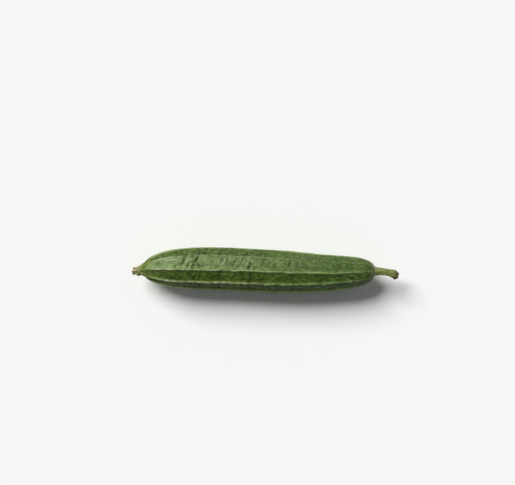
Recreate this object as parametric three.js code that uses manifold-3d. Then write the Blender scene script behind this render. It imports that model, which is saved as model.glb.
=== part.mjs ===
// A young ridge gourd (Luffa acutangula), picked with a piece of its stem and lying on its side.
// Millimetres. It is modelled with x = 0 at the blossom end of the flesh and +X towards the stem,
// +Z up, and it rests on z = 0. At the end the group is moved in X and Y to centre it on the origin.
// Angles round the gourd start at the top and turn towards -Y.
import * as THREE from "three";
import { mergeVertices } from "three/addons/utils/BufferGeometryUtils.js";
import Module from "manifold-3d";

const wasm = await Module();
wasm.setup();

const flesh = {
  length: 200, // from the blossom end to the stem joint
  radius: 18.9, // to the crest of a ridge, at the widest place
  flatDepth: 0.4, // what the two lowest crests lose where they rest
  balanceX: 97, // where it weighs down, and lies lowest
  endLift: 1.6, // the blossom end curves up by this much, and the stem end a little more
  rings: 96,
};
const tip = { blunt: 0.84, reach: 14 }; // how pointed the blossom end is, and how soon it fills out
const neck = { blunt: 0.57, reach: 5.9, slim: 0.36, slimReach: 100 }; // the shoulder and the long taper

// The axis seen from above: it lies furthest towards +Y at crest and furthest towards -Y a span later.
const sway = { swing: 2.2, crest: 30, span: 138, curl: 1.1, curlPower: 12, hook: 1.3, hookReach: 5 };

const ridge = {
  angles: [3.5, 42.5, 73, 102, 133, 163, 197, 239, 281, 321], // degrees at the blossom end
  drift: [-4.5, -11.5, -5, 0, 0, 0, 0, 0, 0, 0], // how far each has turned by the stem end
  height: 0.105, // of the radius
  foot: 5.4, // degrees from the crest to the foot of a flank
  footDepth: 0.82, // how deep the foot lies, as a share of the height
  growsBy: 5, // full height this far from the blossom end
  fadesFrom: 178, // from here it sinks into the shoulder
  atStem: 0.2, // what is left of its height at the stem
};

// The wrinkles that cross each panel: every second ring rises and the ones between them sink.
const wrinkle = {
  depth: 0.55,
  weakest: 0.35, // the least of them, as a share of the depth
  slant: 0.9, // how far one side of a panel is drawn ahead of the other
  stray: 0.55, // how far a wrinkle strays from its even place
  from: [12, 50], // where they begin and where they are full
  to: [130, 178], // where they start to fade and where they are gone
  inPanel: [0.36, 0.64], // the two columns that they move, as shares of the panel's width
  atFoot: 0.25, // how much of a wrinkle reaches the foot of a ridge
  seed: 7,
};

const stem = {
  length: 18.6,
  ribs: 5,
  ribHeight: 0.13, // of the radius
  collar: 4.4, // radius at the joint
  collarReach: 0.14, // of the length
  shaft: 3.1, // radius
  cut: 3.7, // radius near the cut, where it swells
  cutEdge: 0.2, // what the worn edge of the cut loses, as a share of the radius
  cutSlope: { across: 0.17, up: 0.55 }, // how far the cut leans along X, going in +Y and going up
  droop: 3.2, // how far it turns towards -Y
  rise: 1.4,
  rings: 14,
  columns: 30,
};

const blossom = {
  length: 6, // the withered flower beyond the flesh
  lobes: 5,
  flare: 3.8, // how far its dry lobes spread from the axis
  flareAt: 0.36, // where they stand, as a share of the length
  flareReach: 0.2,
  tube: 1.6, // radius of the shrivelled tube
  tubeEnd: 0.55, // how far it closes at its end
  turn: 0.3, // how far it leans towards -Y
  rings: 8,
  columns: 30,
};

const skinGreen = "#5d7a3c";
const stemGreen = "#8a9150";
const dryBuff = "#857b50";

const radians = THREE.MathUtils.degToRad;
const smooth = THREE.MathUtils.smoothstep;

// Radius to the ridge crests at x.
function crestRadius(x) {
  const fromStem = flesh.length - x;
  const blossomEnd = 1 - tip.blunt * Math.exp(-x / tip.reach);
  const shoulder = 1 - neck.blunt * Math.exp(-fromStem / neck.reach);
  const along = Math.min(fromStem / neck.slimReach, 1);
  const taper = 1 - neck.slim * (1 - Math.sin((Math.PI / 2) * along));
  return flesh.radius * blossomEnd * shoulder * taper;
}

// The axis at x: nearly straight, swaying a little in plan, both ends a little raised.
function axisAt(x) {
  const swing = sway.swing * Math.cos((Math.PI * (x - sway.crest)) / sway.span);
  const curl = sway.curl * (x / flesh.length) ** sway.curlPower;
  const y = swing + curl - sway.hook * Math.exp(-x / sway.hookReach);
  const lowestCrest = Math.max(...ridge.angles.map((angle) => -Math.cos(radians(angle))));
  const lift = flesh.endLift * (x / flesh.balanceX - 1) ** 2;
  return new THREE.Vector3(x, y, flesh.radius * lowestCrest - flesh.flatDepth + lift);
}

// Where a crest runs, in degrees. The one after the last is the first again, a full turn on.
function crestAngle(panel, x) {
  const crest = panel % ridge.angles.length;
  const fullTurns = 360 * Math.floor(panel / ridge.angles.length);
  return ridge.angles[crest] + (ridge.drift[crest] * x) / flesh.length + fullTurns;
}

// A point at a radius and an angle round a centre, in the plane across X.
function around(centre, radius, turn) {
  return new THREE.Vector3(0, -radius * Math.sin(turn), radius * Math.cos(turn)).add(centre);
}

// A small seeded generator, so that the wrinkles come out the same each time.
function seeded(seed) {
  let state = seed;
  return () => {
    state = (state * 16807) % 2147483647;
    return state / 2147483647;
  };
}

// A closed body from rings that follow one another along +X, its two ends closed by fans.
function loft(rings) {
  const count = rings[0].length;
  const middle = (ring) => ring.reduce((sum, p) => sum.add(p), new THREE.Vector3()).divideScalar(count);
  const points = [...rings.flat(), middle(rings[0]), middle(rings.at(-1))];
  const first = points.length - 2;
  const last = points.length - 1;
  const top = (rings.length - 1) * count;
  const faces = [];
  for (let column = 0; column < count; column++) {
    const next = (column + 1) % count;
    faces.push(first, next, column, last, top + column, top + next);
    for (let low = 0; low < top; low += count) {
      const [a, b, c, d] = [low + column, low + next, low + count + next, low + count + column];
      faces.push(a, b, c, a, c, d);
    }
  }
  const geometry = new THREE.BufferGeometry().setFromPoints(points);
  geometry.setIndex(faces);
  return geometry;
}

// The columns of a panel: the crest that it starts at, a foot by each of its two ridges, and two
// between them. across is a column's share of the panel's width and beside its degrees from there.
// drawn is which way the wrinkles' slant moves it.
const [nearStart, nearEnd] = wrinkle.inPanel;
const panelColumns = [
  { across: 0, beside: 0, depth: 0, wrinkled: 0, drawn: 0 },
  { across: 0, beside: ridge.foot, depth: ridge.footDepth, wrinkled: wrinkle.atFoot, drawn: -1 },
  { across: nearStart, beside: 0, depth: 1, wrinkled: 1, drawn: -0.4 },
  { across: nearEnd, beside: 0, depth: 1, wrinkled: 1, drawn: 0.4 },
  { across: 1, beside: -ridge.foot, depth: ridge.footDepth, wrinkled: wrinkle.atFoot, drawn: 1 },
];

// The flesh: ten crests that run from the blossom end to the stem, and wrinkled panels between them.
function fleshGeometry() {
  const columns = ridge.angles.flatMap((_, panel) => panelColumns.map((column) => ({ panel, ...column })));
  const random = seeded(wrinkle.seed);
  const slants = ridge.angles.map(() => wrinkle.slant * (2 * random() - 1));
  const rings = [];
  for (let ring = 0; ring <= flesh.rings; ring++) {
    const even = ring / flesh.rings;
    const eased = (1 - Math.cos(Math.PI * even)) / 2; // closer together at both ends
    const ringX = flesh.length * THREE.MathUtils.lerp(even, eased, 0.2);
    const present = smooth(ringX, ...wrinkle.from) * (1 - smooth(ringX, ...wrinkle.to));
    const faded = (1 - ridge.atStem) * smooth(ringX, ridge.fadesFrom, flesh.length);
    const ridgeHeight = ridge.height * smooth(ringX, -1, ridge.growsBy) * (1 - faded);
    const folds = ridge.angles.map((_, panel) => {
      const strength = THREE.MathUtils.lerp(wrinkle.weakest, 1, random());
      const stray = wrinkle.stray * (2 * random() - 1);
      const height = wrinkle.depth * strength * ((ring + panel) % 2 ? 1 : -1);
      return { height: height * present, stray: stray * present, slant: slants[panel] * present };
    });
    rings.push(
      columns.map(({ panel, across, beside, depth, wrinkled, drawn }) => {
        const fold = folds[panel];
        const x = ringX + drawn * fold.slant + wrinkled * fold.stray;
        const crests = [crestAngle(panel, x), crestAngle(panel + 1, x)];
        const angle = THREE.MathUtils.lerp(...crests, across) + beside;
        const radius = crestRadius(x) * (1 - ridgeHeight * depth) + wrinkled * fold.height;
        return around(axisAt(x), radius, radians(angle));
      }),
    );
  }
  return loft(rings);
}

function solidOf(geometry) {
  geometry.deleteAttribute("normal");
  geometry.deleteAttribute("uv");
  const merged = mergeVertices(geometry);
  const vertProperties = merged.attributes.position.array;
  return new wasm.Manifold(new wasm.Mesh({ numProp: 3, vertProperties, triVerts: merged.index.array }));
}

// The two lowest crests are cut level at z = 0, which leaves the narrow flats that the gourd rests on.
function levelled(geometry) {
  const block = new THREE.BoxGeometry(flesh.length, 2 * flesh.radius, flesh.radius);
  block.translate(flesh.length / 2, 0, -flesh.radius / 2);
  const { vertProperties, triVerts } = solidOf(geometry).subtract(solidOf(block)).getMesh();
  const cut = new THREE.BufferGeometry();
  cut.setAttribute("position", new THREE.BufferAttribute(vertProperties, 3));
  cut.setIndex(new THREE.BufferAttribute(triVerts, 1));
  return cut;
}

// One ring of the stem or the blossom, square to X.
function ringAt(centre, columns, radiusAt) {
  return Array.from({ length: columns }, (_, i) => {
    const turn = (i / columns) * 2 * Math.PI;
    return around(centre, radiusAt(turn), turn);
  });
}

// The stem: it flares into a collar at the flesh, has five blunt ribs, and ends in a slanting cut.
function stemGeometry() {
  const root = axisAt(flesh.length);
  const rings = [];
  for (let ring = 0; ring <= stem.rings; ring++) {
    const share = ring / stem.rings;
    const collar = (stem.collar - stem.shaft) * Math.exp(-share / stem.collarReach);
    const swelling = (stem.cut - stem.shaft) * smooth(share, 0.6, 0.9);
    const worn = 1 - stem.cutEdge * smooth(share, 1 - 1 / stem.rings, 1);
    const body = (stem.shaft + collar + swelling) * worn;
    const path = new THREE.Vector3(share * stem.length, -stem.droop * share ** 2, stem.rise * share);
    const centre = path.add(root);
    const rib = stem.ribHeight * smooth(share, 0, 0.2);
    const ribbed = (turn) => body * (1 - rib * (0.5 - 0.5 * Math.cos(stem.ribs * turn)));
    const points = ringAt(centre, stem.columns, ribbed);
    for (const point of points) {
      const { across, up } = stem.cutSlope;
      point.x += share ** 4 * (across * (point.y - centre.y) + up * (point.z - centre.z));
    }
    rings.push(points);
  }
  return loft(rings);
}

// The withered flower: a shrivelled tube with five dry lobes that spread just clear of the flesh.
function blossomGeometry() {
  const root = axisAt(0);
  const neckRadius = crestRadius(0);
  const rings = [];
  for (let ring = blossom.rings; ring >= 0; ring--) {
    const share = ring / blossom.rings;
    const narrowed = THREE.MathUtils.lerp(neckRadius, blossom.tube, smooth(share, 0, 0.25));
    const tube = narrowed * THREE.MathUtils.lerp(1, blossom.tubeEnd, smooth(share, 0.55, 1));
    const nearFlare = Math.exp(-(((share - blossom.flareAt) / blossom.flareReach) ** 2));
    const spread = (blossom.flare - blossom.tube) * nearFlare * smooth(share, 0, 0.12);
    const lobed = (turn) => tube + spread * (0.5 + 0.5 * Math.cos(blossom.lobes * turn)) ** 2;
    const centre = new THREE.Vector3(-share * blossom.length, -share * blossom.turn, 0);
    rings.push(ringAt(centre.add(root), blossom.columns, lobed));
  }
  return loft(rings);
}

function piece(name, geometry, color, roughness) {
  geometry.computeVertexNormals();
  const material = new THREE.MeshStandardMaterial({ color, roughness, metalness: 0 });
  const mesh = new THREE.Mesh(geometry, material);
  mesh.name = name;
  return mesh;
}

const ridgeGourd = new THREE.Group();
ridgeGourd.name = "ridge_gourd";
ridgeGourd.add(piece("fruit", levelled(fleshGeometry()), skinGreen, 0.5));
ridgeGourd.add(piece("stem", stemGeometry(), stemGreen, 0.6));
ridgeGourd.add(piece("withered_blossom", blossomGeometry(), dryBuff, 0.9));

const middle = new THREE.Box3().setFromObject(ridgeGourd).getCenter(new THREE.Vector3());
ridgeGourd.position.set(-middle.x, -middle.y, 0);

export default ridgeGourd;
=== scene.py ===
import math

import bpy
import numpy as np
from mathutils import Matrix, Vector


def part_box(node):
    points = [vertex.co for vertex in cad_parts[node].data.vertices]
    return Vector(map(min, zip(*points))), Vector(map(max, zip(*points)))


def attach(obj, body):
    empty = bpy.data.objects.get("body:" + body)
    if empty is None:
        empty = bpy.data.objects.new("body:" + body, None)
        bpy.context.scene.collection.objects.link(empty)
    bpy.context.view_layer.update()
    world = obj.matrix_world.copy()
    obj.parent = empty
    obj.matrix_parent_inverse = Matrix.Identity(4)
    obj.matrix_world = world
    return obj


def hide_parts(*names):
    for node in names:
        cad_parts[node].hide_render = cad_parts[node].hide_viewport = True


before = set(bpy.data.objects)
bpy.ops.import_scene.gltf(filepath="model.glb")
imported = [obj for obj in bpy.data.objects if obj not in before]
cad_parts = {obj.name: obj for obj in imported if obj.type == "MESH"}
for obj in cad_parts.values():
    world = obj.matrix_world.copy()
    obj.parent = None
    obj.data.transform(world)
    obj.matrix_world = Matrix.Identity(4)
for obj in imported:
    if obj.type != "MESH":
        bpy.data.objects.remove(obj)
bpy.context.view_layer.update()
fruitLow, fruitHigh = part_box("fruit")

mm = 0.001  # sizes below are in millimetres

# The gourd's own lines, which its solids follow too. x runs from the blossom end of the flesh to the stem.
flesh = {
    "length": 200.0,
    "radius": 18.9,  # to the crest of a ridge
    "flatDepth": 0.4,  # what the lowest crests lose where they rest
    "balanceX": 97.0, "endLift": 1.6,  # it rests here, and lifts this much by the blossom end
    "tipBlunt": 0.84, "tipReach": 14.0,  # it draws in to the blossom
    "neckBlunt": 0.57, "neckReach": 5.9,  # and to the stem
    "slim": 0.36, "slimReach": 100.0,  # and is slimmer over this last stretch
    "swing": 2.2, "swingCrest": 30.0, "swingSpan": 138.0,  # its middle line sways from one side to the other
    "curl": 1.1, "curlPower": 12,  # and bends at the stem
    "hook": 1.3, "hookReach": 5.0,  # and at the blossom
    "crestAngles": [3.5, 42.5, 73, 102, 133, 163, 197, 239, 281, 321],  # degrees from the top, towards -Y
    "crestDrift": [-4.5, -11.5, -5, 0, 0, 0, 0, 0, 0, 0],  # how far each has turned by the stem end
}


def smooth(value, low, high):
    share = np.clip((value - low) / (high - low), 0, 1)
    return share * share * (3 - 2 * share)


def ripple(seed, across, along):
    # seeded gradient noise, about -1 to 1, one bump to a unit
    size, strength = 64, 1.5  # it repeats after 64 bumps
    turns = np.random.RandomState(seed).uniform(0, 2 * np.pi, (size, size))
    left, low = np.floor(across).astype(int), np.floor(along).astype(int)
    x, y = across - left, along - low

    def corner(i, j):
        turn = turns[(left + i) % size, (low + j) % size]
        return np.cos(turn) * (x - i) + np.sin(turn) * (y - j)

    fadeX = x * x * x * (x * (x * 6 - 15) + 10)
    fadeY = y * y * y * (y * (y * 6 - 15) + 10)
    near = corner(0, 0) + fadeX * (corner(1, 0) - corner(0, 0))
    far = corner(0, 1) + fadeX * (corner(1, 1) - corner(0, 1))
    return strength * (near + fadeY * (far - near))


def bell(value, at, reach):
    return np.exp(-((value - at) / reach) ** 2)


def crestRadius(x):
    fromStem = flesh["length"] - x
    tip = 1 - flesh["tipBlunt"] * np.exp(-x / flesh["tipReach"])
    shoulder = 1 - flesh["neckBlunt"] * np.exp(-fromStem / flesh["neckReach"])
    along = np.minimum(fromStem / flesh["slimReach"], 1)
    taper = 1 - flesh["slim"] * (1 - np.sin(np.pi / 2 * along))
    return flesh["radius"] * tip * shoulder * taper


def axisAt(x):
    swing = flesh["swing"] * np.cos(np.pi * (x - flesh["swingCrest"]) / flesh["swingSpan"])
    curl = flesh["curl"] * (x / flesh["length"]) ** flesh["curlPower"]
    y = swing + curl - flesh["hook"] * np.exp(-x / flesh["hookReach"])
    lowest = max(-math.cos(math.radians(angle)) for angle in flesh["crestAngles"])
    lift = flesh["endLift"] * (x / flesh["balanceX"] - 1) ** 2
    z = flesh["radius"] * lowest - flesh["flatDepth"] + lift
    return np.stack([x, y, z], axis=-1)


def crestTurns(x):
    drift = np.array(flesh["crestDrift"]) * x / flesh["length"]
    return np.radians(np.array(flesh["crestAngles"]) + drift)


def around(centre, radius, turn):
    return centre + np.stack([0 * radius, -radius * np.sin(turn), radius * np.cos(turn)], axis=-1)


# The frame is centred on the whole gourd, so the flesh is set where its own solid lies.
def plainMiddle():
    steps = 400
    x = np.linspace(0, flesh["length"], steps)[:, None]
    turns = crestTurns(x)
    y = around(axisAt(x), crestRadius(x) + 0 * turns, turns)[..., 1]
    return (y.min() + y.max()) / 2


toFrame = np.array([fruitLow.x / mm, (fruitLow.y + fruitHigh.y) / 2 / mm - plainMiddle(), 0.0])

unwrap = {"sideMargin": 0.02, "endMargin": 0.01}  # kept clear round each unwrapped strip, as a share of it


def makePiece(name, grids, node, material):
    # each grid is (points, marks): its points run ring by ring, and a fan closes either end
    side, end = unwrap["sideMargin"], unwrap["endMargin"]
    corners, faces, places, marks = [], [], [], {}
    for number, (points, gridMarks) in enumerate(grids):
        rings, columns = points.shape[:2]
        base = len(corners)
        placed = (points + toFrame) * mm
        corners += [tuple(corner) for corner in placed.reshape(-1, 3)]
        corners += [tuple(placed[0].mean(axis=0)), tuple(placed[-1].mean(axis=0))]
        first, last = base + rings * columns, base + rings * columns + 1
        top = base + (rings - 1) * columns
        across = (number + np.linspace(side, 1 - side, columns + 1)) / len(grids)
        along = np.linspace(end, 1 - end, rings)
        for ring in range(rings - 1):
            near, far = along[ring], along[ring + 1]
            for column in range(columns):
                a = base + ring * columns + column
                b = base + ring * columns + (column + 1) % columns
                faces.append((a, b, b + columns, a + columns))
                left, right = across[column], across[column + 1]
                places += [(near, left), (near, right), (far, right), (far, left)]
        for column in range(columns):
            after = (column + 1) % columns
            faces += [(first, base + after, base + column), (last, top + column, top + after)]
            left, right = across[column], across[column + 1]
            places += [(0, (left + right) / 2), (end, right), (end, left)]
            places += [(1, (left + right) / 2), (1 - end, left), (1 - end, right)]
        for key, values in gridMarks.items():
            marks.setdefault(key, []).extend([*values.ravel(), values[0].mean(), values[-1].mean()])
    mesh = bpy.data.meshes.new(name)
    mesh.from_pydata(corners, [], faces)
    mesh.shade_smooth()
    mesh.uv_layers.new(name="OFBake").uv.foreach_set("vector", np.array(places, np.float32).ravel())
    for key, values in marks.items():
        attribute = mesh.attributes.new(key, "FLOAT", "POINT")
        attribute.data.foreach_set("value", np.array(values, np.float32))
    mesh.materials.append(material)
    piece = bpy.data.objects.new(name, mesh)
    bpy.context.scene.collection.objects.link(piece)
    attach(piece, "root")
    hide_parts(node)
    print(name, "has", len(faces), "faces")


def hexColour(value):
    # an sRGB hex value as the linear colour that shaders take
    parts = [int(value[i:i + 2], 16) / 255 for i in (1, 3, 5)]
    return [p / 12.92 if p <= 0.04045 else ((p + 0.055) / 1.055) ** 2.4 for p in parts] + [1.0]


def setStops(ramp, stops):
    # each stop is (place, hex colour) or (place, grey level)
    while len(ramp.elements) < len(stops):
        ramp.elements.new(0.5)
    for element, (place, colour) in zip(ramp.elements, stops):
        element.position = place
        element.color = hexColour(colour) if isinstance(colour, str) else [colour] * 3 + [1]


def addNode(tree, kind, inputs=None, stops=None, **settings):
    node = tree.nodes.new("ShaderNode" + kind)
    for key, value in settings.items():
        setattr(node, key, value)
    for socket, value in (inputs or {}).items():
        if isinstance(value, bpy.types.NodeSocket):
            tree.links.new(value, node.inputs[socket])
        else:
            node.inputs[socket].default_value = value
    if stops:
        setStops(node.color_ramp, stops)
    return node


def newMaterial(name):
    material = bpy.data.materials.new(name)
    material.use_nodes = True
    material.node_tree.nodes.clear()
    return material, material.node_tree


skin = {
    # how the ridges and the panels between them run along the flesh
    "ridges": {
        "tipTurn": [0, 0, 0, 0, 0, 0, 0, 12, 26, 13],  # degrees that each turns round the blossom end
        "tipTurnReach": 25.0,
        "height": 0.12, "growsOver": (-1.0, 5.0),  # a share of the radius, reached behind the flower
        "fadesFrom": 176.0, "atStem": 0.2,  # by the stem this share of a ridge is left
        "blade": 0.85, "bladePower": 1.3,  # half width of the thin crest, and how sharply it ends
        "bladeShare": 0.62,  # how much of the height is in the thin crest
        "skirt": 2.6,  # half width of the flank under it
        "clearOf": (0.3, 2.0),  # creases, lumps and bloom begin this far from a crest
        "bulge": 0.4, "bulgePower": 1.5, "bulgeOver": (3.0, 25.0),  # a panel swells between its two ridges
        "filled": [0, 0, 0, 0, 0, 0, 0, 0, 0, 0.6],  # how far a panel has filled up to its first crest
        "filledOver": (0.1, 0.9),
        "waist": 1.15, "waistAt": 4.3, "waistReach": 2.7,  # the flesh draws in behind the flower
        "unevenOver": (4.0, 30.0), "evenOver": (170.0, 198.0),  # the ends are more even than the rest
        "wander": 0.55, "wanderPitch": 8.0,  # a crest strays sideways
        "notch": 0.34, "notchPitch": 4.6,  # and is not even in height
        "fineNotch": 0.5, "fineNotchPitch": 2.0,
        "fin": 0.55, "finAt": 13.0, "finReach": 9.0,  # they stand out most a little way from the tip
        "knob": 0.45, "knobAt": 2.4, "knobReach": 1.3,  # each begins in a small knob where a sepal stood
        "nodule": 0.6, "noduleReach": 7.0, "nodulesOver": (0.0, 1.5),  # smaller ones crowd the tip
        "nodulePitch": 1.5, "nodulesRound": 2.1,
        "dent": 0.3, "dentPitch": 34.0, "dentsRound": 1.2,  # and the whole fruit is a little out of round
        "laneApart": 1.37, "laneStart": 0.5,  # each crest reads the noise along a line of its own
        "seeds": {"wander": 3, "notch": 4, "fineNotch": 5, "dent": 8, "nodule": 19},
    },
    # creases, lumps and wrinkles on the panels
    "puckers": {
        "from": (24.0, 42.0), "to": (95.0, 150.0),  # over these stretches the drawn skin begins, and ends
        "slants": [0.1, -0.15, 0.3, 0.2, -0.25, 0.15, 0.3, -0.2, 0.25, 0.38],  # of each panel's creases
        "strength": [0.5, 0.6, 0.8, 0.9, 0.9, 0.9, 0.9, 0.85, 0.6, 1.0],  # and how deep they are
        # creases of two kinds, drawn at random between each pair of ends
        "bold": {"gap": (3.6, 8.0), "reach": (0.4, 1.0), "width": (0.8, 1.25), "depth": (0.4, 1.0),
                 "stray": 0.25},
        "fine": {"gap": (1.2, 3.2), "reach": (0.12, 0.4), "width": (0.5, 0.75), "depth": (0.1, 0.32),
                 "stray": 0.6},
        "bend": (-0.03, 0.03),
        "offMiddle": 0.42, "keepsIn": 0.6,  # how far off the middle of its panel a crease can lie
        # listed one by one for one panel: place, off the middle, reach, lean, bend, width, depth
        "placedOn": 9,
        "placed": [(31.4, 3.6, 1.7, 0.1, 0.0, 1.3, 0.5), (39.3, -1.6, 4.2, 0.46, 0.02, 1.45, 0.9),
                   (43.6, 0.9, 3.8, 0.4, -0.02, 1.05, 0.35), (47.2, 3.2, 2.1, 0.2, 0.0, 1.05, 0.8),
                   (50.3, -3.2, 3.1, 0.4, 0.12, 1.5, 1.0), (51.4, 2.4, 2.6, -0.45, 0.03, 1.1, 0.55),
                   (46.3, -5.2, 1.2, 1.6, 0.0, 2.4, 0.45), (56.0, 1.5, 1.7, 0.3, 0.0, 1.0, 0.4)],
        "shoulder": 0.6, "shoulderReach": 2.5,  # the skin swells beside a crease: in its depths and widths
        "darkDepth": 0.6,  # from this depth a crease takes its full painted shade
        "busy": 0.75, "busySpread": 0.9, "busyRange": (0.1, 1.2),  # busy stretches and smooth ones
        "busyPitch": 17.0, "busyApart": 3.7, "busySeed": 12,
        "warp": 0.8,  # bends the creases
        "lump": 0.28, "lumpElsewhere": 0.4,  # softer lumps, and their share where the skin isn't drawn in
        "wrinkle": 0.1, "wrinkleElsewhere": 0.5, "fineWrinkle": 0.6,
        "seed": 15,
    },
    # noise over the panels: its seed, its pitch along and across, and how far apart the panels read it
    "panelNoise": {
        "warpAlong": (12, 4.6, 4.0, 2.3, 1.7),
        "warpAcross": (14, 4.6, 4.0, 1.9, 2.7),
        "lumps": (13, 7.0, 5.0, 3.1, 2.9),
        "wrinkles": (15, 2.1, 3.2, 0.0, 4.1),
        "fineWrinkles": (16, 1.3, 1.7, 0.0, 2.2),
    },
    # the pale lines along the crests: their own paler colour, with a painted highlight where a crest stands
    # higher and painted shade where it is greener
    "paling": {
        "width": 0.85,  # half width of the pale line along a crest
        "fullRadius": 13.0, "narrowest": 0.45,  # narrower where the fruit is slimmer than this
        "olderOver": (110.0, 160.0), "olderWider": 0.25,  # wider where the fruit is older
        "crests": [1.0, 0.95, 0.8, 0.8, 0.7, 0.75, 0.8, 0.85, 1.0, 0.7],  # how pale each crest has turned
        "atStem": 0.35,
        "mean": 0.74, "olderMore": 0.08, "range": (0.15, 1.0),
        "patchy": 0.8, "patchyOver": (12.0, 26.0), "olderPatchy": 0.4,  # higher stretches are paler: a painted highlight
        # where a crest is greener, partly painted shade, or paler if negative: which crest, place, reach and
        # how much
        "greenerAndShaded": [(0, 7.0, 4.5, 0.4), (0, 24.5, 3.0, 0.36), (0, 36.5, 4.0, 0.22), (0, 54.5, 6.0, 0.3),
                    (0, 172.0, 6.0, 0.2), (0, 192.0, 10.0, 0.4), (1, 16.0, 8.5, 0.45), (1, 42.0, 3.0, 0.25),
                    (1, 160.0, 45.0, 0.4), (9, 21.0, 6.0, -0.3), (9, 46.0, 6.0, 0.5),
                    (9, 165.0, 30.0, 0.7)],
        "onNodules": 1.6, "onKnobs": 0.9, "most": 0.9,
    },
    # the wax bloom on the panels, partly a painted sheen: the panel turned towards the lamp and the camera
    # has the most
    "bloomAndSheen": {
        "panels": [0.03, 0.05, 0.3, 0.3, 0.25, 0.45, 0.35, 0.1, 0.1, 1.0],  # how much wax bloom and painted sheen each has
        "over": (2.0, 10.0),
        # where a panel has more, partly painted light: which panel, place, reach, how far across it and how
        # much
        "spots": [(0, 15.0, 9.0, 0.3, 0.24), (0, 190.0, 6.0, 0.5, 1.1), (9, 165.0, 20.0, 0.75, 1.2)],
        "spotWidth": 0.35,
    },
    "grid": {
        "rings": 430, "perPanel": 22,
        "crowd": 0.25,  # rings crowd towards both ends
        "gather": 0.55,  # and columns at the crests
    },
    "turnIn": 0.9, "turnInReach": 1.6,  # the skin rounds over to the stem

    # colours of the bare skin and of the pale crests, by the share of the length from the blossom
    "greens": [(0.0, "#414b12"), (0.05, "#3f4f11"), (0.2, "#44561a"), (0.5, "#42521b"), (0.8, "#405424"),
               (0.95, "#3c4f23"), (0.978, "#435529"), (0.992, "#8f9964"), (1.0, "#a3ab76")],
    "crests": [(0.0, "#959d56"), (0.035, "#87954e"), (0.085, "#bcc898"), (0.14, "#abb886"),
               (0.25, "#96a573"), (0.5, "#8e9d6e"), (0.8, "#7d9657"), (1.0, "#849767")],
    "colours": {"deepGreen": "#2b4013", "lime": "#587024", "darkGreenAndShade": "#1f300c", "paleGreen": "#70833f",
                "bloomAndSheen": "#92a974", "cork": "#87956c"},
    "roughness": (0.32, 0.48),  # the mottled patches are the duller ones
    "ior": 1.4, "specular": 0.2,
    # each noise: its pitch, its detail, and how often it repeats along the fruit for once across it.
    # The real cells, veins and grain are 0.1 to 0.5 mm apart, too fine to show, so they are drawn coarser.
    "noises": {"mottle": (9.0, 4, 1), "lime": (5.0, 3, 1), "cells": (1.7, 3, 0.55), "veins": (1.6, 4, 0.07),
               "grain": (0.9, 4, 1)},
    # each shade: the noise it reads, and how strong it is at two values of that noise
    "shades": {"mottled": ("mottle", [(0.42, 0.0), (0.6, 0.65)]),
               "limed": ("lime", [(0.5, 0.0), (0.66, 0.55)]),
               "dark": ("cells", [(0.34, 0.38), (0.5, 0.0)]),
               "light": ("cells", [(0.5, 0.0), (0.67, 0.38)]),
               "patchy": ("mottle", [(0.4, 1.0), (0.62, 0.62)]),
               "grainy": ("cells", [(0.36, 0.5), (0.56, 1.1)]),
               "veined": ("veins", [(0.5, 0.0), (0.72, 0.25)])},
    # each trend along the fruit, by the share of its length from the blossom
    "trends": {"lime": {"From Min": 0.3, "From Max": 0.8, "To Min": 1.0, "To Max": 0.45},
               "bloomAndSheen": {"From Min": 0.85, "From Max": 0.1, "To Min": 0.08, "To Max": 0.7},
               "flecks": {"From Min": 0.55, "From Max": 0.95, "To Min": 0.1, "To Max": 0.5}},
    "creaseShade": 0.7,
    "fleckPitch": 2.6, "fleckStretch": 0.45, "fleckStops": [(0.12, 1.0), (0.3, 0.0)],
    "bumpStrength": 0.35, "bumpHeight": 0.35,
}


def roundRipple(seed, pitch, bumps, x, turn):
    # noise that closes on itself round the fruit
    row = 9  # the row of the noise that it circles
    return ripple(seed, x / pitch + bumps * np.cos(turn), bumps * np.sin(turn) + row)


def panelRipple(name, x, middle, panel):
    seed, along, across, apartAlong, apartAcross = skin["panelNoise"][name]
    return ripple(seed, x / along + apartAlong * panel, middle / across + apartAcross * panel)


def drawCreases(x, middle, creases):
    # each crease is a short furrow across a panel, between two swellings: the relief, and how far down in
    # a furrow each point lies, which sets the painted shade in the creases
    puckers = skin["puckers"]
    relief, mark = 0 * middle, 0 * middle
    for place, centre, reach, lean, bend, narrow, depth in creases:
        away = middle - centre
        line = (x - place + lean * away + bend * away ** 2) / narrow
        fade = np.exp(-(away / reach) ** 4)
        pit = bell(line, 0, 1)
        rim = bell(line, 0, puckers["shoulderReach"])
        relief += depth * fade * (puckers["shoulder"] * (rim - pit) - pit)
        mark = np.maximum(mark, fade * pit * min(depth / puckers["darkDepth"], 1))
    return relief, mark


def strewCreases(number, series):
    puckers = skin["puckers"]
    draw = np.random.RandomState(puckers["seed"] + 20 * number)
    kind = puckers[series]
    byHand = series == "bold" and number == puckers["placedOn"]
    place = puckers["placed"][-1][0] if byHand else puckers["from"][0]
    strewn = []
    while place < puckers["to"][1]:
        place += draw.uniform(*kind["gap"])
        wide = 2 * math.pi / len(flesh["crestAngles"]) * crestRadius(place)
        reach = draw.uniform(*kind["reach"]) * wide / 2
        spread = ripple(puckers["busySeed"], place / puckers["busyPitch"], puckers["busyApart"] * number)
        busy = np.clip(puckers["busy"] + puckers["busySpread"] * spread, *puckers["busyRange"])
        there = smooth(place, *puckers["from"]) * (1 - smooth(place, *puckers["to"]))
        depth = draw.uniform(*kind["depth"]) * there * busy * puckers["strength"][number]
        centre = draw.uniform(-1, 1) * (puckers["offMiddle"] * wide - puckers["keepsIn"] * reach)
        lean = puckers["slants"][number] + draw.uniform(-1, 1) * kind["stray"]
        bend = draw.uniform(*puckers["bend"])
        narrow = draw.uniform(*kind["width"])
        strewn.append((place, centre, reach, lean, bend, narrow, depth))
    return strewn + puckers["placed"] if byHand else strewn


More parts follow.
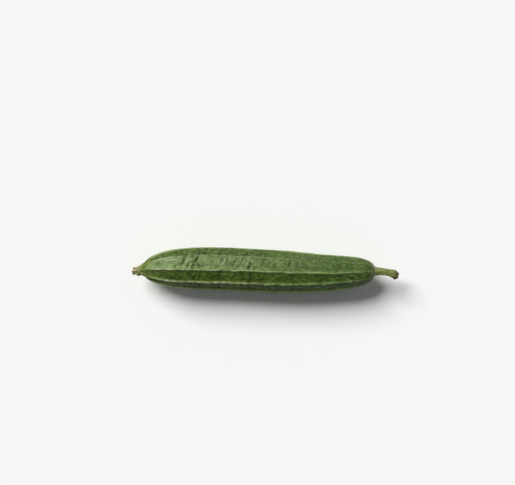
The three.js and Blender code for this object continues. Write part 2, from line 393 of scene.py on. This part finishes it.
def panelRelief(x, middle, panel, uneven):
    # how far the skin of the panels stands out, and how far down in a crease each point lies, for the
    # painted shade
    puckers = skin["puckers"]
    warpX = x + puckers["warp"] * panelRipple("warpAlong", x, middle, panel)
    warpMiddle = middle + puckers["warp"] * panelRipple("warpAcross", x, middle, panel)
    folds, creased = 0 * middle, 0 * middle
    for number in range(len(flesh["crestAngles"])):
        own = panel[0] == number
        for series in ("bold", "fine"):
            relief, mark = drawCreases(warpX[:, own], warpMiddle[:, own], strewCreases(number, series))
            folds[:, own] += relief
            creased[:, own] = np.maximum(creased[:, own], mark)
    drawn = smooth(x, *puckers["from"]) * (1 - smooth(x, *puckers["to"]))
    lumpy = puckers["lumpElsewhere"] + (1 - puckers["lumpElsewhere"]) * drawn
    wrinkly = puckers["wrinkleElsewhere"] + (1 - puckers["wrinkleElsewhere"]) * drawn
    lumps = panelRipple("lumps", x, middle, panel)
    wrinkles = panelRipple("wrinkles", warpX, middle, panel)
    wrinkles = wrinkles + puckers["fineWrinkle"] * panelRipple("fineWrinkles", warpX, middle, panel)
    soft = puckers["lump"] * lumpy * lumps + puckers["wrinkle"] * wrinkly * wrinkles
    return folds + uneven * soft, creased


def paleAndHighlitCrests(x, radius, toCrest, nearest, notched, faded):
    # how pale each point is, from 0 on the panels to 1 on the palest crests, partly a painted highlight
    paling = skin["paling"]
    older = smooth(x, *paling["olderOver"])
    slimness = np.clip(radius / paling["fullRadius"], paling["narrowest"], 1)
    width = paling["width"] * slimness * (1 + paling["olderWider"] * older)
    edge = bell(toCrest, 0, width) * (paling["atStem"] + (1 - paling["atStem"]) * faded)
    # painted highlight: a crest is paler where it stands higher
    patchy = paling["patchy"] * notched * smooth(x, *paling["patchyOver"])
    patchy = patchy * (1 - (1 - paling["olderPatchy"]) * older)
    # greener stretches, partly painted shade
    for number, spot, reach, less in paling["greenerAndShaded"]:
        patchy = patchy - (nearest == number) * less * bell(x, spot, reach)
    pale = np.clip(paling["mean"] + paling["olderMore"] * older + patchy, *paling["range"])
    return edge * np.array(paling["crests"])[nearest] * pale


def panelBloomAndSheen(x, share, panel):
    # how much wax bloom, partly a painted sheen, lies at each point of the panels
    bloomAndSheen = skin["bloomAndSheen"]
    kept = np.array(bloomAndSheen["panels"])[panel] + 0 * x
    for number, spot, reach, side, more in bloomAndSheen["spots"]:
        patch = more * bell(x, spot, reach) * bell(share, side, bloomAndSheen["spotWidth"])
        kept = kept + (panel == number) * patch
    return kept * smooth(x, *bloomAndSheen["over"])


def skinPoints():
    ridges, paling, grid = skin["ridges"], skin["paling"], skin["grid"]
    count, per = len(flesh["crestAngles"]), grid["perPanel"]
    even = np.linspace(0, 1, grid["rings"])
    eased = (1 - np.cos(np.pi * even)) / 2
    x = flesh["length"] * ((1 - grid["crowd"]) * even + grid["crowd"] * eased)[:, None]
    t = np.tile(np.arange(per) / per, count)[None, :]
    share = t - grid["gather"] * np.sin(2 * np.pi * t) / (2 * np.pi)
    panel = np.repeat(np.arange(count), per)[None, :]
    nextPanel = (panel + 1) % count

    # where each crest runs, and how far each point is from the nearest
    seeds = ridges["seeds"]
    lane = ridges["laneApart"] * np.arange(count)[None, :] + ridges["laneStart"]
    radius = crestRadius(x)
    uneven = smooth(x, *ridges["unevenOver"]) * (1 - smooth(x, *ridges["evenOver"]))
    stray = ridges["wander"] * uneven / radius * ripple(seeds["wander"], lane, x / ridges["wanderPitch"])
    atTip = np.radians(ridges["tipTurn"]) * np.exp(-x / ridges["tipTurnReach"])
    crests = crestTurns(x) + atTip + stray
    start = crests[:, panel[0]]
    end = crests[:, nextPanel[0]] + np.where(nextPanel == 0, 2 * np.pi, 0)
    turn = start + share * (end - start)
    toStart = share * (end - start) * radius
    toEnd = (1 - share) * (end - start) * radius
    toCrest = np.minimum(toStart, toEnd)
    nearest = np.where(toStart < toEnd, panel, nextPanel)

    # how high it stands there
    notches = ripple(seeds["notch"], lane, x / ridges["notchPitch"])
    fineNotches = ripple(seeds["fineNotch"], lane, x / ridges["fineNotchPitch"])
    notches = notches + ridges["fineNotch"] * fineNotches
    notched = np.take_along_axis(notches, nearest, axis=1)
    blade = np.exp(-(toCrest / ridges["blade"]) ** ridges["bladePower"])
    skirt = bell(toCrest, 0, ridges["skirt"])
    section = ridges["bladeShare"] * blade + (1 - ridges["bladeShare"]) * skirt
    faded = 1 - (1 - ridges["atStem"]) * smooth(x, ridges["fadesFrom"], flesh["length"])
    fin = 1 + ridges["fin"] * bell(x, ridges["finAt"], ridges["finReach"])
    height = ridges["height"] * fin * radius * smooth(x, *ridges["growsOver"]) * faded
    filled = np.array(ridges["filled"])[panel] * (1 - smooth(share, *ridges["filledOver"]))
    swell = ridges["bulge"] * np.sin(np.pi * share) ** ridges["bulgePower"]
    swell = swell * smooth(x, *ridges["bulgeOver"]) * faded
    waist = ridges["waist"] * bell(x, ridges["waistAt"], ridges["waistReach"])
    knob = blade * bell(x, ridges["knobAt"], ridges["knobReach"])
    nodule = roundRipple(seeds["nodule"], ridges["nodulePitch"], ridges["nodulesRound"], x, turn)
    nodule = np.clip(nodule, 0, 1) * bell(x, 0, ridges["noduleReach"]) * smooth(x, *ridges["nodulesOver"])
    dent = uneven * roundRipple(seeds["dent"], ridges["dentPitch"], ridges["dentsRound"], x, turn)

    # the skin of the panels, and the whole surface
    onPanel = smooth(toCrest, *ridges["clearOf"])
    relief, creased = panelRelief(x, (share - 0.5) * (end - start) * radius, panel, uneven)
    r = radius - height * (1 - filled) * (1 - section) + ridges["notch"] * uneven * notched * section
    r = r + swell - waist + onPanel * relief
    r = r + ridges["knob"] * knob + ridges["nodule"] * nodule + ridges["dent"] * dent
    intoStem = np.clip((x - flesh["length"] + skin["turnInReach"]) / skin["turnInReach"], 0, 1)
    r = r - skin["turnIn"] * intoStem ** 2
    points = around(axisAt(x + 0 * turn), r, turn)
    points[..., 2] = np.maximum(points[..., 2], 0)  # pressed level where it rests

    crest = paleAndHighlitCrests(x, radius, toCrest, nearest, notched, faded)
    knobby = np.clip(paling["onNodules"] * nodule + paling["onKnobs"] * knob, 0, paling["most"])
    return points, {"crest": np.maximum(crest, knobby), "crease": creased * onPanel,
                    "waxAndSheen": onPanel * panelBloomAndSheen(x, share, panel)}


def waxedSkin():
    # Luffa skin under its thin natural wax: a dull green with a soft sheen, greyer where the wax has
    # bloomed on the panels, which is partly a painted sheen, paler along the ridges, darkened by painted
    # shade in the creases, with fine lengthwise veins and a few corky flecks.
    material, tree = newMaterial("luffaSkinNaturalWax")
    place = addNode(tree, "TexCoord").outputs["Object"]
    split = addNode(tree, "SeparateXYZ", {0: place})
    share = addNode(tree, "MapRange", {"Value": split.outputs["X"], "From Min": fruitLow.x,
                                       "From Max": fruitHigh.x}).outputs[0]
    noises, shades, trends, marks = {}, {}, {}, {}
    for name, (pitch, detail, stretch) in skin["noises"].items():
        stretched = addNode(tree, "Mapping", {"Vector": place, "Scale": (stretch, 1, 1)})
        noises[name] = addNode(tree, "TexNoise", {"Vector": stretched.outputs[0], "Scale": 1 / (pitch * mm),
                                                  "Detail": detail}).outputs["Fac"]
    for name, (noise, stops) in skin["shades"].items():
        shades[name] = addNode(tree, "ValToRGB", {0: noises[noise]}, stops=stops).outputs[0]
    for name, trend in skin["trends"].items():
        trends[name] = addNode(tree, "MapRange", {"Value": share, **trend}).outputs[0]
    for name in ("waxAndSheen", "crease", "crest"):
        marks[name] = addNode(tree, "Attribute", attribute_name=name).outputs["Fac"]
    stretched = addNode(tree, "Mapping", {"Vector": place, "Scale": (skin["fleckStretch"], 1, 1)})
    fleck = addNode(tree, "TexVoronoi", {"Vector": stretched.outputs[0],
                                         "Scale": 1 / (skin["fleckPitch"] * mm)}).outputs["Distance"]
    flecked = addNode(tree, "ValToRGB", {0: fleck}, stops=skin["fleckStops"]).outputs[0]

    # what each layer of colour is made of: its parts are multiplied, and the layers lie one on another
    layers = (
        ("deepGreen", [shades["mottled"]]),
        ("lime", [shades["limed"], trends["lime"]]),
        ("darkGreenAndShade", [shades["dark"]]),
        ("paleGreen", [shades["light"]]),
        # wax bloom, partly a painted sheen
        ("bloomAndSheen", [marks["waxAndSheen"], trends["bloomAndSheen"], shades["patchy"], shades["grainy"]]),
        ("paleGreen", [shades["veined"]]),
        # painted shade down in the creases
        ("darkGreenAndShade", [marks["crease"], skin["creaseShade"]]),
        ("cork", [flecked, trends["flecks"]]),
    )
    base = addNode(tree, "ValToRGB", {0: share}, stops=skin["greens"]).outputs[0]
    for colour, parts in layers:
        factor = parts[0]
        for part in parts[1:]:
            product = addNode(tree, "Math", {0: factor, 1: part}, operation="MULTIPLY", use_clamp=True)
            factor = product.outputs[0]
        laid = addNode(tree, "Mix", {0: factor, 6: base, 7: hexColour(skin["colours"][colour])},
                       data_type="RGBA")
        base = laid.outputs[2]
    worn = addNode(tree, "ValToRGB", {0: share}, stops=skin["crests"]).outputs[0]
    base = addNode(tree, "Mix", {0: marks["crest"], 6: base, 7: worn}, data_type="RGBA").outputs[2]

    relief = addNode(tree, "Math", {0: noises["veins"], 1: noises["grain"]}, operation="ADD")
    bump = addNode(tree, "Bump", {"Height": relief.outputs[0], "Strength": skin["bumpStrength"],
                                  "Distance": skin["bumpHeight"] * mm})
    dullness = addNode(tree, "MapRange", {"Value": noises["mottle"], "To Min": skin["roughness"][0],
                                          "To Max": skin["roughness"][1]})
    shader = addNode(tree, "BsdfPrincipled", {
        "Base Color": base, "Roughness": dullness.outputs[0], "IOR": skin["ior"],
        "Specular IOR Level": skin["specular"], "Normal": bump.outputs[0]})
    addNode(tree, "OutputMaterial", {"Surface": shader.outputs[0]})
    return material


makePiece("skin", [skinPoints()], "fruit", waxedSkin())
print("skin of the fruit: done")

stalk = {
    "length": 18.6, "sunk": 1.2,  # its root goes on this far inside the flesh
    "collar": 4.4, "collarReach": 0.14,  # radius at the flesh, and the share of the length it fades over
    "shaft": 3.1,
    "cut": 3.7, "swellsOver": (0.6, 0.9),  # radius that it swells to before the cut
    "cutEdge": 0.2, "wornOver": (0.95, 1.0),  # and the worn edge is this much smaller
    "lip": 0.26, "tornOver": (0.88, 0.98),  # but the bark is torn wider on one side
    "cutAcross": 0.17, "cutUp": 0.55, "cutPower": 4,  # how the cut leans along the stem
    "droop": 3.2, "rise": 1.4,  # how far its end lies to one side, and above the root
    "ribs": 5, "ribHeight": 0.14, "ribsOver": (0.0, 0.2),  # heights are shares of the radius
    "veins": 23, "veinHeight": 0.018, "veinsOver": (0.02, 0.3),
    "twist": 0.5,  # radians that ribs and veins turn by the cut
    "lump": 0.05, "lumps": (9, 3), "lumpsOver": (0.0, 0.3), "lumpSeed": 21,  # along it, and in half a turn
    "dish": 0.7, "dishPower": 3,  # how deep the dried cut sinks
    "cutMiddle": 0.04,  # its innermost ring, as a share of its outer one
    "rough": 0.16, "roughPitch": 0.9, "roughSeed": 22,
    "rings": 90, "columns": 120, "capRings": 14,
    # the torn side has dried and browned furthest back from the cut
    "dried": 0.13, "driedOver": (0.74, 0.9), "driedPower": 1.5,
    "greens": [(0.0, "#989f6a"), (0.1, "#7b8143"), (0.6, "#676f2e"), (0.84, "#68682e"), (0.9, "#5e4a1e"),
               (0.94, "#452e10"), (1.0, "#3c280e")],
    # the groove colour is painted shade in the furrows between the ribs
    "pale": "#a3a968", "pith": "#8a744c", "grooveShade": "#55662c",
    # real fibres are about 0.3 mm apart, too fine to show, so they are drawn coarser
    "fibrePitch": 0.7, "fibreDetail": 4, "fibreStretch": 0.12,
    "blotchPitch": 2.2, "blotchDetail": 3, "blotchShift": 0.06,  # blotches move the edge of the browning
    # how much of the painted furrow shade is laid on
    "grooveShadeShare": 0.4,
    "streakStops": [(0.48, 0.0), (0.7, 0.4)], "freshStops": [(0.82, 1.0), (0.92, 0.15)],
    "pithStops": [(0.15, 0.0), (0.5, 0.8)],
    "roughness": 0.55, "ior": 1.45,
    "bumpStrength": 0.6, "bumpHeight": 0.3,
}


def stalkPoints():
    k = stalk
    turn = np.linspace(0, 2 * np.pi, k["columns"], endpoint=False)[None, :]
    share = np.linspace(0, 1, k["rings"])[:, None]
    oneSide = np.clip(np.sin(turn), 0, 1)
    collar = (k["collar"] - k["shaft"]) * np.exp(-share / k["collarReach"])
    swelling = (k["cut"] - k["shaft"]) * smooth(share, *k["swellsOver"])
    worn = 1 - k["cutEdge"] * smooth(share, *k["wornOver"])
    twisted = turn + k["twist"] * share
    rib = smooth(share, *k["ribsOver"]) * (0.5 - 0.5 * np.cos(k["ribs"] * twisted))
    vein = smooth(share, *k["veinsOver"]) * np.cos(k["veins"] * twisted)
    lump = ripple(k["lumpSeed"], k["lumps"][0] * share + 0 * turn, k["lumps"][1] * turn / np.pi)
    lump = smooth(share, *k["lumpsOver"]) * lump
    torn = smooth(share, *k["tornOver"]) * oneSide ** 2
    uneven = k["veinHeight"] * vein + k["lump"] * lump + k["lip"] * torn - k["ribHeight"] * rib
    body = (k["shaft"] + collar + swelling) * worn * (1 + uneven)
    path = np.concatenate([share * k["length"], -k["droop"] * share ** 2, k["rise"] * share], axis=1)
    centre = (axisAt(np.array(flesh["length"])) + path)[:, None, :]
    points = around(centre, body, turn + 0 * share)
    aside = points - centre
    points[..., 0] += share ** k["cutPower"] * (k["cutAcross"] * aside[..., 1] + k["cutUp"] * aside[..., 2])
    sunkRing = points[:1] - np.array([k["sunk"], 0, 0])

    # the cut, ring by ring towards its middle
    inward = np.linspace(1, k["cutMiddle"], k["capRings"] + 1)[1:, None, None]
    middle = points[-1].mean(axis=0)
    cap = middle + (points[-1] - middle) * inward
    depth = 1 - inward[..., 0] ** k["dishPower"]
    rough = ripple(k["roughSeed"], cap[..., 1] / k["roughPitch"], cap[..., 2] / k["roughPitch"])
    cap[..., 0] += depth * (k["rough"] * rough - k["dish"])
    points = np.concatenate([sunkRing, points, cap])

    root, capped = 0 * turn, 0 * cap[..., 0]
    dried = k["dried"] * smooth(share, *k["driedOver"]) * oneSide ** k["driedPower"]
    along = np.concatenate([root, np.minimum(share + dried, 1), capped + 1])
    hollow = np.concatenate([root, rib, capped])
    pith = np.concatenate([root, 0 * rib, capped + 1 - inward[..., 0]])
    return points, {"along": along, "hollow": hollow, "pith": pith}


def cutStalk():
    # Fresh gourd stalk, cut with a knife: fibrous and yellow-green with painted shade in its furrows, its
    # cut end dried to brown cork round a paler pith.
    material, tree = newMaterial("greenStalkDriedCut")
    place = addNode(tree, "TexCoord").outputs["Object"]
    stretched = addNode(tree, "Mapping", {"Vector": place, "Scale": (stalk["fibreStretch"], 1, 1)})
    fibre = addNode(tree, "TexNoise", {
        "Vector": stretched.outputs[0], "Scale": 1 / (stalk["fibrePitch"] * mm),
        "Detail": stalk["fibreDetail"]}).outputs["Fac"]
    blotch = addNode(tree, "TexNoise", {"Vector": place, "Scale": 1 / (stalk["blotchPitch"] * mm),
                                        "Detail": stalk["blotchDetail"]}).outputs["Fac"]
    along = addNode(tree, "Attribute", attribute_name="along").outputs["Fac"]
    hollow = addNode(tree, "Attribute", attribute_name="hollow").outputs["Fac"]
    pith = addNode(tree, "Attribute", attribute_name="pith").outputs["Fac"]
    shift = addNode(tree, "MapRange", {"Value": blotch, "To Min": -stalk["blotchShift"],
                                       "To Max": stalk["blotchShift"]})
    browned = addNode(tree, "Math", {0: along, 1: shift.outputs[0]}, operation="ADD")
    base = addNode(tree, "ValToRGB", {0: browned.outputs[0]}, stops=stalk["greens"]).outputs[0]
    # painted shade in the furrows between the ribs
    furrowShade = addNode(tree, "Math", {0: hollow, 1: stalk["grooveShadeShare"]}, operation="MULTIPLY").outputs[0]
    streaky = addNode(tree, "ValToRGB", {0: fibre}, stops=stalk["streakStops"]).outputs[0]
    fresh = addNode(tree, "ValToRGB", {0: along}, stops=stalk["freshStops"]).outputs[0]
    streak = addNode(tree, "Math", {0: streaky, 1: fresh}, operation="MULTIPLY").outputs[0]
    pithy = addNode(tree, "ValToRGB", {0: pith}, stops=stalk["pithStops"]).outputs[0]
    for factor, colour in ((furrowShade, "grooveShade"), (streak, "pale"), (pithy, "pith")):
        laid = addNode(tree, "Mix", {0: factor, 6: base, 7: hexColour(stalk[colour])}, data_type="RGBA")
        base = laid.outputs[2]
    relief = addNode(tree, "Math", {0: fibre, 1: blotch}, operation="ADD")
    bump = addNode(tree, "Bump", {"Height": relief.outputs[0], "Strength": stalk["bumpStrength"],
                                  "Distance": stalk["bumpHeight"] * mm})
    shader = addNode(tree, "BsdfPrincipled", {"Base Color": base, "Roughness": stalk["roughness"],
                                              "IOR": stalk["ior"], "Normal": bump.outputs[0]})
    addNode(tree, "OutputMaterial", {"Surface": shader.outputs[0]})
    return material


makePiece("stalk", [stalkPoints()], "stem", cutStalk())
print("stem: done")

flower = {
    "droop": -0.3,  # how far it hangs to one side, as a slope
    "rings": 34, "columns": 24, "seed": 5,
    # the lobed core that the petals grow from
    "core": 3.3, "coreLength": 5.5, "coreColumns": 48, "coreSunk": 0.6, "coreRise": 0.15,
    "coreTaper": 0.7, "coreTapersOver": (0.3, 1.0),
    "lobes": 5, "lobe": 0.22, "lobeTwist": 2.5,
    "coreLump": 0.25, "coreLumps": (5, 1.9), "coreSeed": 31,
    "coreBrown": 0.5, "coreTipBrown": 0.4,
    # a pair of ends is a range to draw from at random, and angles are in radians
    "petals": {"count": 18, "length": 5.7, "lengths": (0.75, 1.05), "width": 3.9, "widths": (0.75, 1.1),
               "thick": 0.26, "crumple": 0.62, "point": 0.4, "out": (0.9, 2.2), "back": (-0.6, 0.6),
               "turn": (-0.3, 0.3), "aim": (-0.2, 0.3), "curl": (-0.6, 0.15), "twist": (-1.2, 1.2),
               "seed": 40},
    "sepals": {"count": 8, "length": 3.2, "lengths": (0.85, 1.1), "width": 3.0,
               "thick": 0.9, "crumple": 0.25, "point": 0.6, "out": 3.7, "back": 1.7,
               "turn": (-0.15, 0.15), "aim": (-0.2, 0.05), "curl": (-0.1, 0.5), "twist": (-0.3, 0.3),
               "seed": 60, "brown": 0.6, "greenFades": 1.3},
    # both widen from the root, round off, and narrow to a point
    "root": 0.35, "widensOver": (0.0, 0.45), "roundPower": 5, "blunt": 0.02, "pointPower": 1.6,
    "curlPower": 1.3, "thinEdge": 0.5,
    "ragged": 0.25, "rags": 6, "raggedSeed": 100,
    # coarse folds and fine ones: how many along and across, row of the noise, strength, and added seed
    "folds": [(3.3, 1.5, 3, 1.0, 0), (6.5, 3.2, 7, 0.5, 50)], "foldsOver": (0.0, 0.3),
    "cup": 0.28, "cupTurn": 2.6,  # a hollow that turns over on the way
    "edgeBrown": 0.75, "tipBrown": 0.6,
    "buffs": [(0.0, "#b2ab80"), (0.2, "#9c9468"), (0.45, "#857b50"), (0.75, "#665a39")],
    "sepalGreen": "#838f42",
    "blotchPitch": 1.3, "blotchDetail": 4,
    "roughness": 0.85, "ior": 1.4,
    "bumpStrength": 0.7, "bumpHeight": 0.3,
}


def tongue(kind, start, turn, length, width, aim, curl, twist, seed):
    # a dry petal or a sepal: a flat closed tongue that leaves the axis at an angle, curls over, twists
    # and is crumpled
    f = flower
    share = np.linspace(0, 1, f["rings"])[:, None]
    phase = np.linspace(0, 2 * np.pi, f["columns"], endpoint=False)[None, :]
    forward = np.array([-1.0, f["droop"], 0]) / math.hypot(1, f["droop"])
    outward = np.array([0, -math.sin(turn), math.cos(turn)])
    outward = outward - outward.dot(forward) * forward
    lean = aim + curl * share ** f["curlPower"]
    heading = np.cos(lean) * forward + np.sin(lean) * outward
    centre = start + np.cumsum(heading, axis=0) * length / f["rings"]
    normal = np.cos(lean) * outward - np.sin(lean) * forward
    side = np.cross(heading, normal)
    spin = twist * share
    normal, side = np.cos(spin) * normal + np.sin(spin) * side, np.cos(spin) * side - np.sin(spin) * normal

    # its outline, ragged along both edges
    across, up = np.sin(phase), np.cos(phase)
    widening = f["root"] + (1 - f["root"]) * smooth(share, *f["widensOver"])
    rounding = np.sqrt(np.clip(1 - share ** f["roundPower"], f["blunt"], 1))
    pointing = 1 - kind["point"] * share ** f["pointPower"]
    rags = ripple(seed + f["raggedSeed"], f["rags"] * share + 0 * phase, 0 * share + np.sign(across))
    wide = width / 2 * widening * rounding * pointing * (1 + f["ragged"] * rags)

    # its crumpled face
    folds = 0
    for bumps, bumpsAcross, row, strength, added in f["folds"]:
        fold = ripple(seed + added, bumps * share + 0 * phase, bumpsAcross * across + row + 0 * share)
        folds = folds + strength * fold
    cupped = f["cup"] * width * across ** 2 * np.cos(f["cupTurn"] * share + seed)
    lift = kind["thick"] / 2 * up * (1 - f["thinEdge"] * across ** 2)
    lift = lift + smooth(share, *f["foldsOver"]) * (kind["crumple"] * folds + cupped)
    points = centre[:, None, :] + (wide * across)[..., None] * side[:, None, :]
    points = points + lift[..., None] * normal[:, None, :]
    brown = np.clip(f["edgeBrown"] * np.abs(across) ** 3 + f["tipBrown"] * share ** 2, 0, 1)
    return points, brown


def flowerCore(root):
    f = flower
    share = np.linspace(0, 1, f["rings"])[:, None]
    turn = np.linspace(0, 2 * np.pi, f["coreColumns"], endpoint=False)[None, :]
    lobed = 1 + f["lobe"] * np.cos(f["lobes"] * turn + f["lobeTwist"] * share)
    lumpy = ripple(f["coreSeed"], f["coreLumps"][0] * share + 0 * turn, turn * f["coreLumps"][1])
    radius = f["core"] * (1 - f["coreTaper"] * smooth(share, *f["coreTapersOver"])) * lobed
    radius = radius * (1 + f["coreLump"] * lumpy)
    back, aside = f["coreSunk"] - share * f["coreLength"], f["droop"] * f["coreLength"] * share
    path = np.concatenate([back, aside, f["coreRise"] * share], axis=1)
    points = around((root + path)[:, None, :], radius, turn + 0 * share)
    brown = f["coreBrown"] + f["coreTipBrown"] * share + 0 * turn
    return points[::-1], {"edge": brown[::-1], "sepal": 0 * brown}


def flowerGrids():
    draw = np.random.RandomState(flower["seed"])
    root = axisAt(np.array(0.0))
    grids = [flowerCore(root)]
    kind = flower["petals"]
    for i in range(kind["count"]):
        turn = 2 * np.pi * (i + draw.uniform(*kind["turn"])) / kind["count"]
        out = draw.uniform(*kind["out"])
        start = around(root + np.array([draw.uniform(*kind["back"]), 0, 0]), out, turn)
        length = kind["length"] * draw.uniform(*kind["lengths"])
        width = kind["width"] * draw.uniform(*kind["widths"])
        aim, curl, twist = [draw.uniform(*kind[key]) for key in ("aim", "curl", "twist")]
        points, brown = tongue(kind, start, turn, length, width, aim, curl, twist, kind["seed"] + i)
        grids.append((points, {"edge": brown, "sepal": 0 * brown}))
    kind = flower["sepals"]
    for i in range(kind["count"]):
        turn = 2 * np.pi * (i + 0.5 + draw.uniform(*kind["turn"])) / kind["count"]
        start = around(root + np.array([kind["back"], 0, 0]), kind["out"], turn)
        length = kind["length"] * draw.uniform(*kind["lengths"])
        aim, curl, twist = [draw.uniform(*kind[key]) for key in ("aim", "curl", "twist")]
        points, brown = tongue(kind, start, turn, length, kind["width"], aim, curl, twist, kind["seed"] + i)
        green = np.clip(1 - kind["greenFades"] * brown, 0, 1)
        grids.append((points, {"edge": kind["brown"] * brown, "sepal": green}))
    return grids


def witheredPetals():
    # Corolla tissue left to dry on the fruit: papery and matt, buff with brown curled edges, and sepals
    # that are still partly green.
    material, tree = newMaterial("witheredPetalTissue")
    place = addNode(tree, "TexCoord").outputs["Object"]
    blotch = addNode(tree, "TexNoise", {"Vector": place, "Scale": 1 / (flower["blotchPitch"] * mm),
                                        "Detail": flower["blotchDetail"]}).outputs["Fac"]
    edge = addNode(tree, "Attribute", attribute_name="edge").outputs["Fac"]
    sepal = addNode(tree, "Attribute", attribute_name="sepal").outputs["Fac"]
    browned = addNode(tree, "Math", {0: edge, 1: blotch}, operation="MULTIPLY").outputs[0]
    base = addNode(tree, "ValToRGB", {0: browned}, stops=flower["buffs"]).outputs[0]
    base = addNode(tree, "Mix", {0: sepal, 6: base, 7: hexColour(flower["sepalGreen"])}, data_type="RGBA")
    bump = addNode(tree, "Bump", {"Height": blotch, "Strength": flower["bumpStrength"],
                                  "Distance": flower["bumpHeight"] * mm})
    shader = addNode(tree, "BsdfPrincipled", {
        "Base Color": base.outputs[2], "Roughness": flower["roughness"], "IOR": flower["ior"],
        "Normal": bump.outputs[0]})
    addNode(tree, "OutputMaterial", {"Surface": shader.outputs[0]})
    return material


makePiece("driedFlower", flowerGrids(), "withered_blossom", witheredPetals())
print("withered flower: done")

studio = {
    "boardWhite": "#f6f6f4", "boardRoughness": 0.9, "boardSpecular": 0.1,
    "boardSize": 40.0,  # metres
    "keyFrom": (-0.6, 0.68, 0.85),
    "keySpread": 32.0, "keyPower": 3.9,  # degrees, and watts to a square metre
    "skyColour": "#f6f7fa", "skyStrength": 0.17,
}


def makeFloor():
    bpy.ops.mesh.primitive_plane_add(size=studio["boardSize"])
    floor = bpy.context.object
    floor.name = "floor"
    # Painted board: an even, pale and matt surface that takes a soft shadow and shows no sheen.
    material, tree = newMaterial("mattWhiteBoard")
    shader = addNode(tree, "BsdfPrincipled", {
        "Base Color": hexColour(studio["boardWhite"]), "Roughness": studio["boardRoughness"],
        "Specular IOR Level": studio["boardSpecular"]})
    addNode(tree, "OutputMaterial", {"Surface": shader.outputs[0]})
    floor.data.materials.append(material)


def makeKey():
    # one wide soft lamp far off, so that the board is as bright at its edges as round the gourd
    lamp = bpy.data.lights.new("softKey", "SUN")
    lamp.angle = math.radians(studio["keySpread"])
    lamp.energy = studio["keyPower"]
    light = bpy.data.objects.new("softKey", lamp)
    light.location = studio["keyFrom"]
    light.rotation_euler = (-Vector(studio["keyFrom"])).to_track_quat("-Z", "Y").to_euler()
    bpy.context.scene.collection.objects.link(light)


def makeSky():
    world = bpy.data.worlds.new("softStudio")
    world.use_nodes = True
    tree = world.node_tree
    tree.nodes.clear()
    sky = addNode(tree, "Background", {"Color": hexColour(studio["skyColour"]),
                                       "Strength": studio["skyStrength"]})
    addNode(tree, "OutputWorld", {"Surface": sky.outputs[0]})
    bpy.context.scene.world = world


view = {
    "pixel": 0.85,  # millimetres to a pixel of the frame
    "frameWidth": 515,  # pixels
    "aim": (-6.45, 23.4),  # the middle of the frame, from the gourd's own middle
    "lens": 74.0, "sensor": 36.0,
}


def makeCamera():
    data = bpy.data.cameras.new("camera")
    data.lens = view["lens"]
    data.sensor_width = view["sensor"]
    # straight above, and so far off that the frame is this wide at half the gourd's height
    width = view["pixel"] * view["frameWidth"] * mm
    distance = width * view["lens"] / view["sensor"]
    camera = bpy.data.objects.new("camera", data)
    camera.location = (view["aim"][0] * mm, view["aim"][1] * mm, distance + flesh["radius"] * mm)
    bpy.context.scene.collection.objects.link(camera)
    bpy.context.scene.camera = camera


makeFloor()
makeKey()
makeSky()
makeCamera()
bpy.context.scene.view_settings.view_transform = "Standard"
print("light and camera: done")
